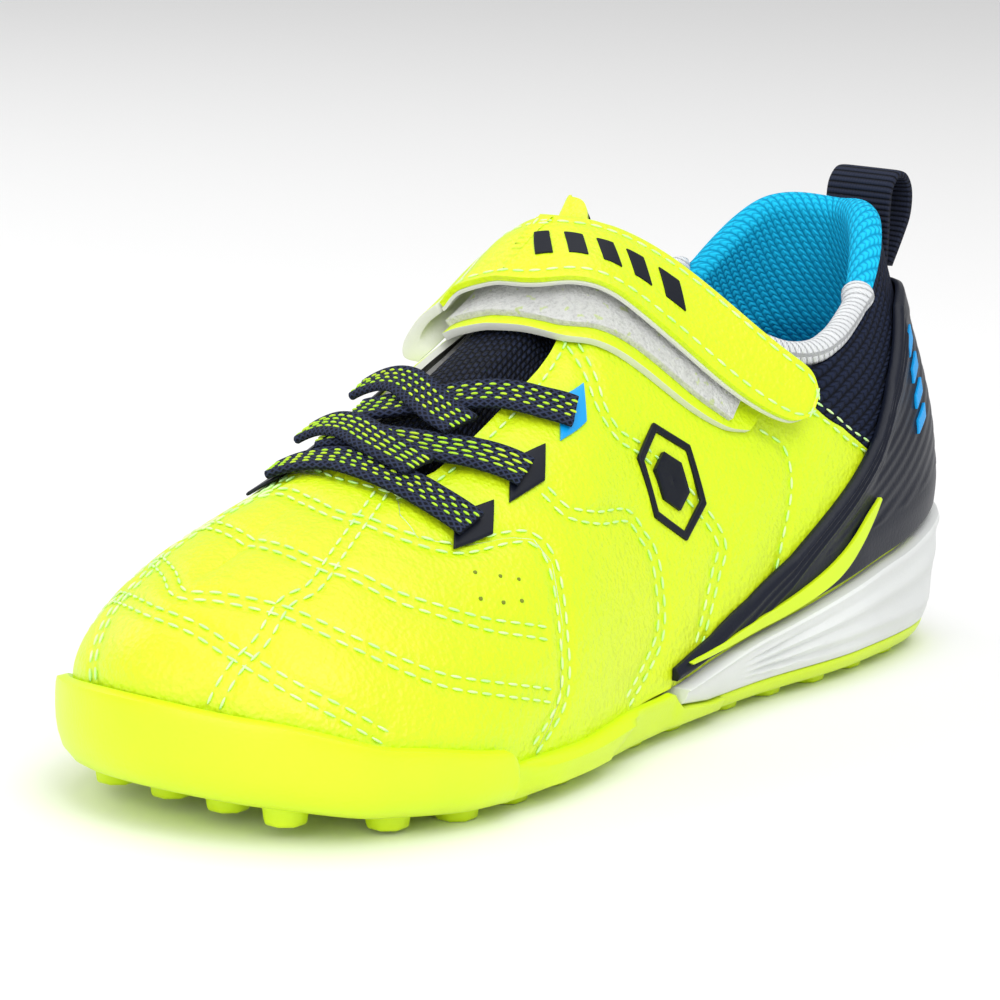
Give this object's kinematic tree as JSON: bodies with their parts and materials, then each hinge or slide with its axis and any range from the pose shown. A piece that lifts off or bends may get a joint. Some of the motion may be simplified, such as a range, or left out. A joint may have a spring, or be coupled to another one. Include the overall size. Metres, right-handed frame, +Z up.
{
  "type": "soccer cleat",
  "caption": "Child's low turf shoe, left foot: lime upper with elastic laces and a hook-and-loop strap, padded collar with a pull loop, white wedge midsole, nubbed rubber outsole.",
  "frame": {"origin": "centre of the shoe's overall box in plan, on the ground under the studs", "axes": "+X toward the toe, +Y toward the outer (lateral) side, +Z up"},
  "size_m": [0.206, 0.0772, 0.0859],
  "materials": {
    "lime_leather": "smooth coated synthetic leather, satin",
    "lime_rubber": "moulded rubber, satin",
    "white_foam": "moulded foam, matte",
    "board": "pressed fibre board",
    "insole_textile": "textile-covered foam",
    "grey_textile": "fine knitted lining",
    "white_backing": "foam-backed textile",
    "stiffener": "thermoplastic sheet",
    "navy_mesh": "coarse open knit",
    "navy_overlay": "smooth moulded overlay",
    "lime_accent": "smooth printed strip",
    "blue_lining": "terry knit",
    "yellow_foam": "open-cell foam",
    "light_knit": "ribbed knit binding",
    "blue_patch": "welded film",
    "navy_patch": "welded film",
    "navy_cord": "flat woven elastic",
    "white_tape": "hook and loop tape",
    "navy_webbing": "woven webbing"
  },
  "bodies": {
    "shoe": {"outsole_forefoot": "lime_rubber", "outsole_heel": "lime_rubber", "midsole": "white_foam", "lasting_board": "board", "insole": "insole_textile", "vamp_lining": "grey_textile", "toe_puff": "stiffener", "vamp_backing_lateral": "white_backing", "vamp_backing_medial": "white_backing", "quarter_backing_lateral": "white_backing", "quarter_backing_medial": "white_backing", "quarter_lining_lateral": "grey_textile", "quarter_lining_medial": "grey_textile", "collar_mesh": "navy_mesh", "heel_counter": "stiffener", "collar_foam": "yellow_foam", "collar_lining": "blue_lining", "vamp": "lime_leather", "quarter_lateral": "lime_leather", "quarter_medial": "lime_leather", "heel_overlay": "navy_overlay", "heel_accent_lateral": "lime_accent", "heel_accent_medial": "lime_accent", "heel_accent_rear": "lime_accent", "topline_roll_lateral": "light_knit", "topline_roll_medial": "light_knit", "collar_lip": "blue_lining", "eyelet_top_lateral": "blue_patch", "eyelet_middle_lateral": "navy_patch", "eyelet_front_lateral": "navy_patch", "eyelet_top_medial": "navy_patch", "eyelet_middle_medial": "navy_patch", "eyelet_front_medial": "navy_patch", "lace_top_bar": "navy_cord", "lace_middle_bar": "navy_cord", "lace_front_bar": "navy_cord", "lace_top_cross": "navy_cord", "lace_middle_cross": "navy_cord", "strap_base": "lime_leather", "loop_tape": "white_tape", "strap_fold": "lime_leather"},
    "strap": {"strap_flap": "lime_leather", "hook_tape": "white_tape"},
    "tongue": {"tongue_mesh": "navy_mesh", "tongue_foam": "yellow_foam", "tongue_lining": "grey_textile", "tongue_tip": "lime_leather"},
    "loop": {"pull_loop": "navy_webbing"}
  },
  "joints": [
    {"name": "strap_peel", "type": "hinge", "parent": "shoe", "child": "strap", "pos_m": [-0.00138, -0.01848, 0.07407], "axis": [0.9008, 0.0011, -0.4343], "range_deg": [0, 130]},
    {"name": "tongue_tilt", "type": "hinge", "parent": "shoe", "child": "tongue", "pos_m": [0.0598, -0.0063, 0.043], "axis": [0, -1, 0], "range_deg": [0, 8], "stiffness_Nm_per_rad": 0.03},
    {"name": "pull_loop_fold", "type": "hinge", "parent": "shoe", "child": "loop", "pos_m": [-0.0956, 0.0004, 0.0695], "axis": [0, -1, 0], "range_deg": [0, 60], "stiffness_Nm_per_rad": 0.004}
  ]
}
